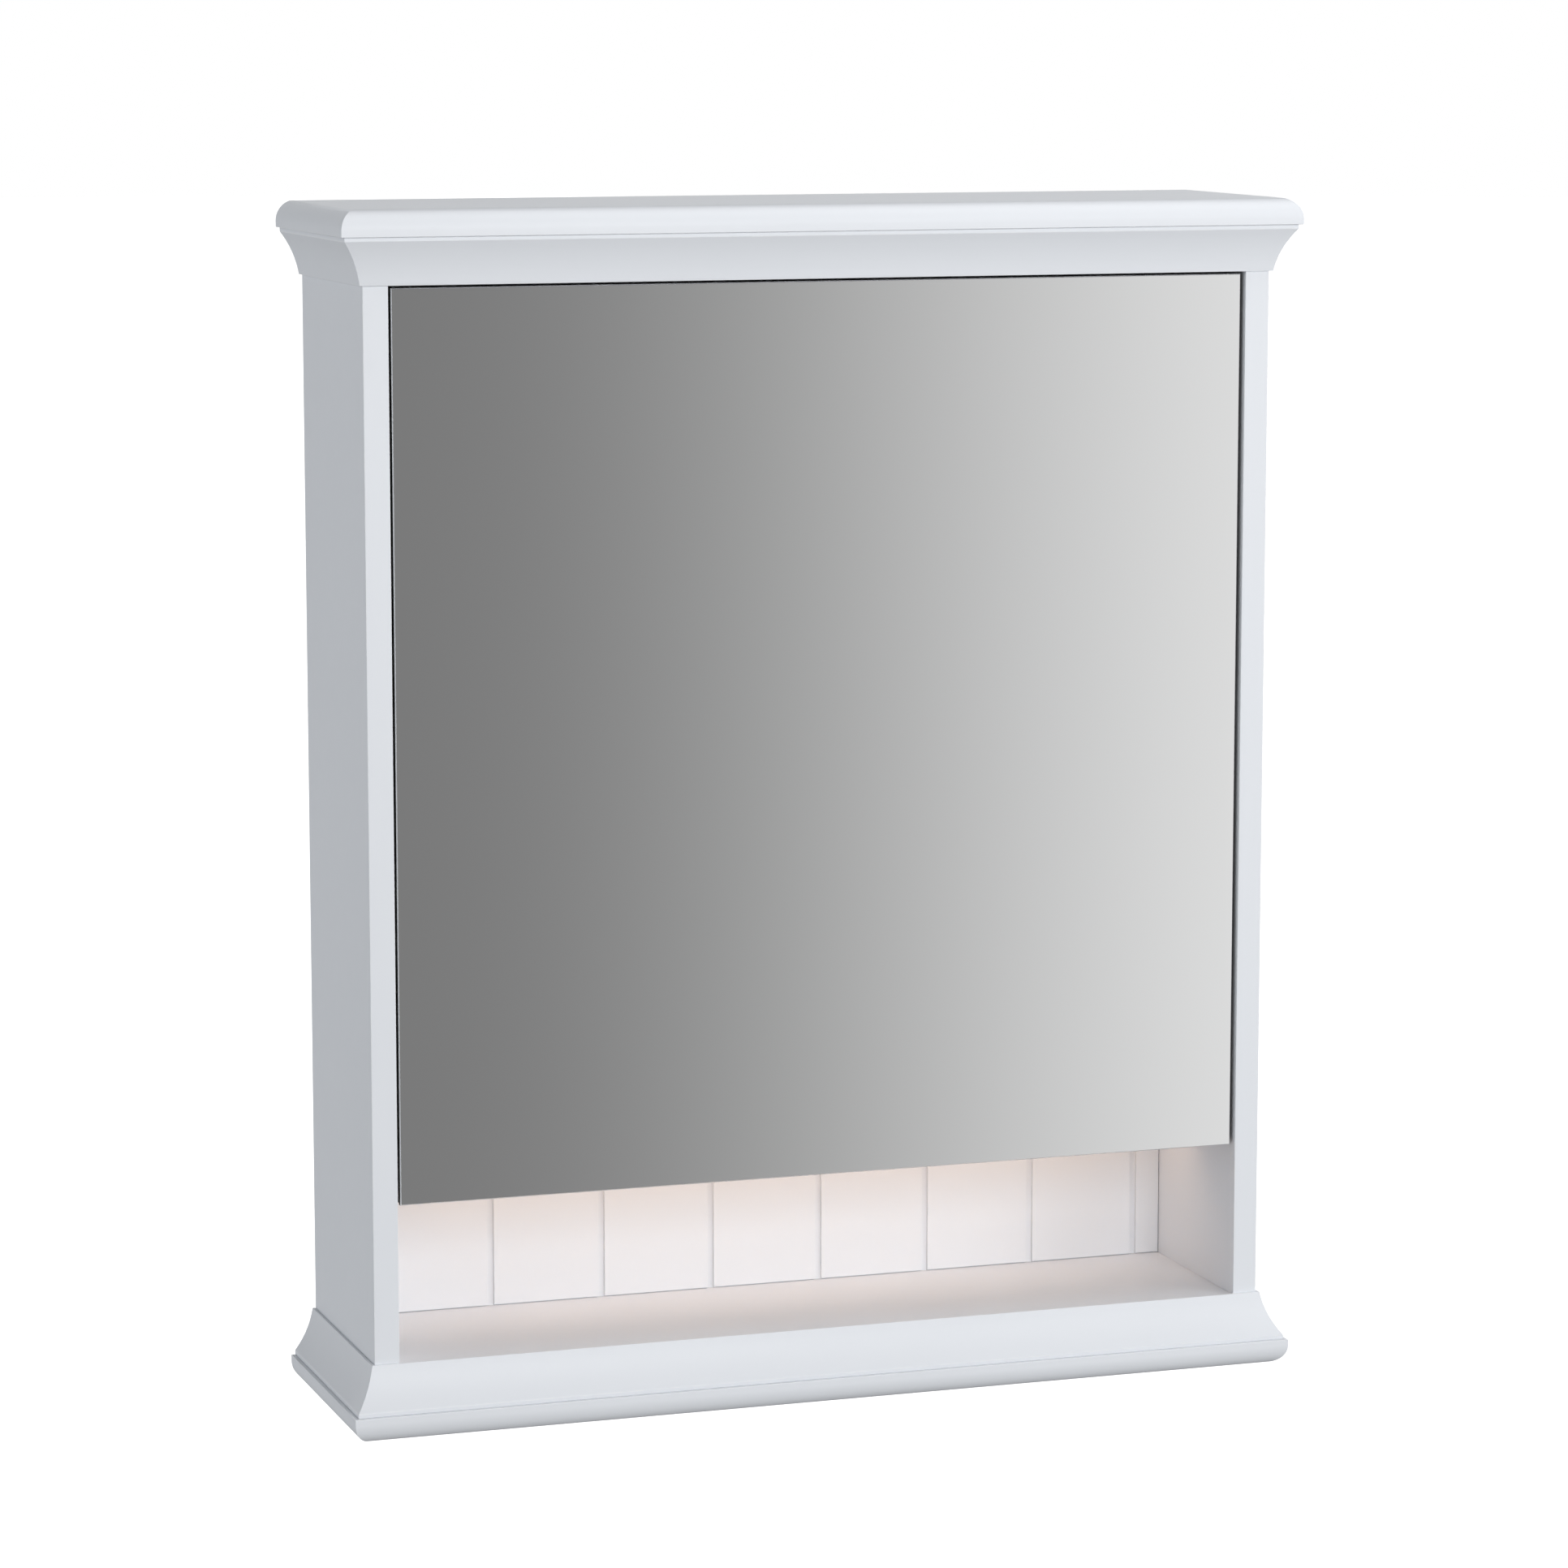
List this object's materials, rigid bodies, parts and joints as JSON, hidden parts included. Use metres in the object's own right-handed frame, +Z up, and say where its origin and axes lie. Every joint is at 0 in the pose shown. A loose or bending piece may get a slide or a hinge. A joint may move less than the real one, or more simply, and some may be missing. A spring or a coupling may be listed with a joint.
{
  "type": "hanging wall cabinet",
  "caption": "White bathroom wall cabinet with a cove crown and base, an inset mirror door and a lit open niche.",
  "frame": {"origin": "centre of the wall-side face of the upper rear rail, midway between the two wall plates, on the wall plane", "axes": "+X to the right seen from the front, +Y into the wall, +Z up; the front looks along -Y"},
  "size_m": [0.6258, 0.1705, 0.7577],
  "materials": {
    "painted_board": "satin white paint on fibreboard",
    "raw_board": "bare fibreboard",
    "dark_edging": "dark brown edge band",
    "mirror_glass": "silvered glass with polished chamfer",
    "clear_glass": "clear toughened glass with ground edges",
    "dowel_wood": "bare beech",
    "zinc_steel": "bright zinc plate",
    "cast_zinc": "die-cast zinc",
    "nickel_steel": "nickel plate",
    "anodised": "satin anodised",
    "opal_plastic": "opal light diffuser",
    "white_plastic": "moulded satin",
    "circuit_board": "white solder mask",
    "clear_bumper": "soft silicone"
  },
  "bodies": {
    "cabinet": {"back_panel": "painted_board", "base_board": "painted_board", "base_moulding_front": "painted_board", "base_moulding_left": "painted_board", "base_moulding_right": "painted_board", "base_packers": "raw_board", "base_screws": "zinc_steel", "cam_bolts": "zinc_steel", "cam_discs": "cast_zinc", "cap_board": "painted_board", "cap_screws": "zinc_steel", "carcass_dowels": "dowel_wood", "compartment_floor": "painted_board", "crown_moulding_front": "painted_board", "crown_moulding_left": "painted_board", "crown_moulding_right": "painted_board", "crown_packers": "raw_board", "driver_screws": "zinc_steel", "glass_shelf_lower": "clear_glass", "glass_shelf_upper": "clear_glass", "hanger_adjusting_screws": "zinc_steel", "hanger_body_left": "zinc_steel", "hanger_body_right": "zinc_steel", "hanger_covers": "white_plastic", "hanger_hook_left": "zinc_steel", "hanger_hook_right": "zinc_steel", "hinge_arm_lower": "nickel_steel", "hinge_arm_screws": "nickel_steel", "hinge_arm_upper": "nickel_steel", "hinge_plate_lower": "nickel_steel", "hinge_plate_screws": "nickel_steel", "hinge_plate_upper": "nickel_steel", "led_board": "circuit_board", "led_diffuser": "opal_plastic", "led_driver": "white_plastic", "led_end_caps": "white_plastic", "led_profile": "anodised", "niche_floor": "painted_board", "rear_rail_bottom": "raw_board", "rear_rail_top": "raw_board", "shelf_pins": "nickel_steel", "side_panel_left": "painted_board", "side_panel_right": "painted_board", "top_panel": "painted_board", "wall_plate_left": "zinc_steel", "wall_plate_right": "zinc_steel"},
    "door": {"door_edging": "dark_edging", "door_panel": "painted_board", "door_mirror": "mirror_glass", "door_bumpers": "clear_bumper", "hinge_cup_lower": "nickel_steel", "hinge_cup_upper": "nickel_steel", "hinge_pin_lower": "nickel_steel", "hinge_pin_upper": "nickel_steel", "hinge_cup_screws": "nickel_steel"}
  },
  "joints": [
    {"name": "door_hinge", "type": "hinge", "parent": "cabinet", "child": "door", "pos_m": [0.264, -0.1433, -0.248], "axis": [0, 0, 1], "range_deg": [0, 100]}
  ]
}
